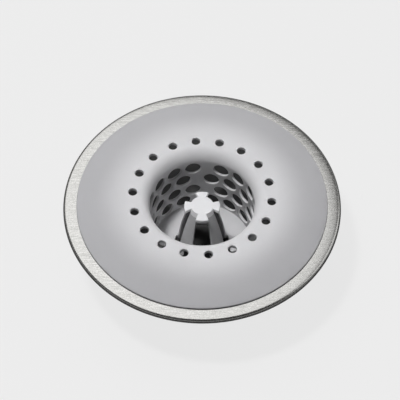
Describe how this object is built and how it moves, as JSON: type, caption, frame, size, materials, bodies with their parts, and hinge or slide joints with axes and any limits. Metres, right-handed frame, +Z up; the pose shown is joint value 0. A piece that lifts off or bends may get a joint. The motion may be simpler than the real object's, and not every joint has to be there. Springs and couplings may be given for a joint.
{
  "type": "sink strainer",
  "caption": "Round kitchen sink strainer: a steel rim carries a domed silicone flange and a perforated basket with a slotted centre cone that pushes up to empty.",
  "frame": {"origin": "centre of the plane on which the rim sits round the drain", "axes": "+Z up along the basket's axis, out of the drain; +X and +Y across the rim"},
  "size_m": [0.1142, 0.1142, 0.0374],
  "materials": {
    "rim_steel": "brushed round the rim",
    "grey_silicone": "satin light grey silicone"
  },
  "bodies": {
    "strainer": {"steel_rim": "rim_steel", "silicone_flange": "grey_silicone", "basket_wall": "grey_silicone"},
    "basket_base": {"basket_floor": "grey_silicone", "centre_cone": "grey_silicone"}
  },
  "joints": [
    {"name": "basket_pop_up", "type": "slide", "parent": "strainer", "child": "basket_base", "axis": [0, 0, 1], "range_m": [0, 0.062], "deforming": ["basket_wall"]}
  ]
}
